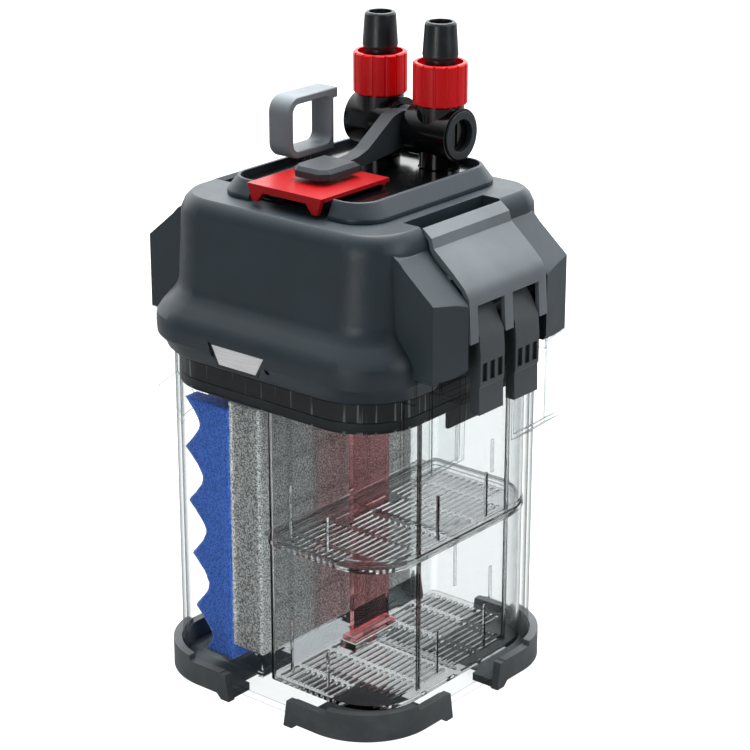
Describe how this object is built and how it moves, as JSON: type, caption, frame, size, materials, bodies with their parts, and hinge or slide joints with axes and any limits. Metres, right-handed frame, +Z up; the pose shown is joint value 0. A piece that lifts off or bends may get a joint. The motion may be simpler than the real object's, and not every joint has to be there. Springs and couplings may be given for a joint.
{
  "type": "canister filter",
  "caption": "Canister filter with clear square body, side latches, media baskets, sponge pads, motor head, primer handle, flow lever and two hose ports.",
  "frame": {"origin": "on the floor, under the centre of the square base", "axes": "+Z up, -Y out of the front with the badge, +X towards the right-hand latch, hose valve towards +Y"},
  "size_m": [0.2178, 0.1796, 0.38],
  "materials": {
    "clear_plastic": "clear moulded polycarbonate, very slightly cool",
    "smoked_plastic": "smoke-tinted clear plastic",
    "red_clear_plastic": "deep red translucent plastic",
    "blue_sponge": "open-cell coarse sponge, royal blue",
    "grey_sponge": "bonded fine sponge, black and white speckle",
    "bumper_rubber": "charcoal soft rubber",
    "head_plastic": "dark slate fine-texture moulding",
    "dark_plastic": "near-black satin moulding",
    "gloss_black": "polished black moulding",
    "seal_rubber": "black seal rubber",
    "latch_grey": "mid grey satin moulding",
    "lever_grey": "mid-dark grey satin moulding",
    "red_plastic": "bright red semi-gloss moulding",
    "badge_silver": "brushed silver plate, left blank",
    "steel": "stainless steel",
    "lamination_steel": "stacked electrical steel",
    "copper_winding": "enamelled copper winding",
    "ceramic": "ground ceramic",
    "ferrite": "coated ferrite magnet"
  },
  "bodies": {
    "canister": {"canister_body": "clear_plastic", "foot_front_left": "bumper_rubber", "foot_front_right": "bumper_rubber", "foot_rear_left": "bumper_rubber", "foot_rear_right": "bumper_rubber"},
    "foams": {"foam_frame": "clear_plastic", "blue_foam": "blue_sponge", "grey_foam": "grey_sponge"},
    "baskets": {"lower_basket": "smoked_plastic", "basket_lift_bar": "red_clear_plastic"},
    "upper_tray": {"upper_basket": "smoked_plastic"},
    "head": {"head_shell": "head_plastic", "head_base_plate": "dark_plastic", "sealing_gasket": "seal_rubber", "deck_frame": "head_plastic", "deck_plate": "gloss_black", "port_sockets": "dark_plastic", "primer_cylinder": "dark_plastic", "motor_housing": "gloss_black", "stator_core": "lamination_steel", "motor_coil": "copper_winding", "shaft_bushes": "seal_rubber", "impeller_shaft": "ceramic", "impeller_cover": "dark_plastic", "head_screws": "steel", "cord_gland": "seal_rubber", "badge_bezel": "dark_plastic", "badge_plate": "badge_silver", "latch_pin_left": "steel", "latch_pin_right": "steel", "hook_pin_left": "steel", "hook_pin_right": "steel"},
    "rotor": {"impeller_magnet": "ferrite", "impeller": "dark_plastic"},
    "latch_left": {"latch_handle_left": "latch_grey"},
    "latch_right": {"latch_handle_right": "latch_grey"},
    "hook_left": {"latch_hook_left": "head_plastic"},
    "hook_right": {"latch_hook_right": "head_plastic"},
    "tab": {"release_tab": "red_plastic"},
    "primer": {"primer_handle": "latch_grey", "primer_piston": "dark_plastic"},
    "valve_block": {"valve_body": "gloss_black", "neck_seals": "seal_rubber", "valve_end_ring_left": "dark_plastic", "valve_end_ring_right": "dark_plastic", "hose_connector_left": "seal_rubber", "hose_connector_right": "seal_rubber"},
    "lever": {"valve_lever": "lever_grey", "valve_rotor_left": "gloss_black", "valve_rotor_right": "gloss_black"},
    "nut_left": {"lock_nut_left": "red_plastic"},
    "nut_right": {"lock_nut_right": "red_plastic"}
  },
  "joints": [
    {"name": "head_lift", "type": "slide", "parent": "canister", "child": "head", "axis": [0, 0, 1], "range_m": [0, 0.26]},
    {"name": "basket_lift", "type": "slide", "parent": "canister", "child": "baskets", "axis": [0, 0, 1], "range_m": [0, 0.104]},
    {"name": "upper_tray_lift", "type": "slide", "parent": "canister", "child": "upper_tray", "axis": [0, 0, 1], "range_m": [0, 0.195]},
    {"name": "foam_lift", "type": "slide", "parent": "canister", "child": "foams", "axis": [0, 0, 1], "range_m": [0, 0.0884]},
    {"name": "impeller_spin", "type": "hinge", "parent": "head", "child": "rotor", "pos_m": [0, -0.018, 0.2], "axis": [0, 0, 1], "continuous": true},
    {"name": "latch_left_hinge", "type": "hinge", "parent": "head", "child": "latch_left", "pos_m": [-0.083, 0, 0.271], "axis": [0, 1, 0], "range_deg": [0, 50]},
    {"name": "hook_left_hinge", "type": "hinge", "parent": "head", "child": "hook_left", "pos_m": [-0.096, 0, 0.243], "axis": [0, 1, 0], "range_deg": [0, 15]},
    {"name": "latch_right_hinge", "type": "hinge", "parent": "head", "child": "latch_right", "pos_m": [0.083, 0, 0.271], "axis": [0, -1, 0], "range_deg": [0, 50]},
    {"name": "hook_right_hinge", "type": "hinge", "parent": "head", "child": "hook_right", "pos_m": [0.096, 0, 0.243], "axis": [0, -1, 0], "range_deg": [0, 15]},
    {"name": "valve_block_lift", "type": "slide", "parent": "head", "child": "valve_block", "axis": [0, 0, 1], "range_m": [0, 0.045]},
    {"name": "flow_lever", "type": "hinge", "parent": "valve_block", "child": "lever", "pos_m": [0, 0.0479, 0.3176], "axis": [-1, 0, 0], "range_deg": [0, 75]},
    {"name": "tab_hinge", "type": "hinge", "parent": "head", "child": "tab", "pos_m": [0, -0.0042, 0.3], "axis": [-1, 0, 0], "range_deg": [0, 37.5]},
    {"name": "primer_stroke", "type": "slide", "parent": "head", "child": "primer", "axis": [0, 0, 1], "range_m": [0, 0.03]},
    {"name": "nut_left_turn", "type": "hinge", "parent": "valve_block", "child": "nut_left", "pos_m": [-0.0216, 0.0479, 0.345], "axis": [0, 0, 1], "continuous": true},
    {"name": "nut_right_turn", "type": "hinge", "parent": "valve_block", "child": "nut_right", "pos_m": [0.0216, 0.0479, 0.345], "axis": [0, 0, 1], "continuous": true}
  ],
  "couplings": [
    {"joint": "upper_tray_lift", "follows": "head_lift", "ratio": 0.75},
    {"joint": "basket_lift", "follows": "head_lift", "ratio": 0.4},
    {"joint": "foam_lift", "follows": "head_lift", "ratio": 0.34},
    {"joint": "hook_left_hinge", "follows": "latch_left_hinge", "ratio": 0.3},
    {"joint": "hook_right_hinge", "follows": "latch_right_hinge", "ratio": 0.3},
    {"joint": "tab_hinge", "follows": "flow_lever", "ratio": 0.5}
  ]
}
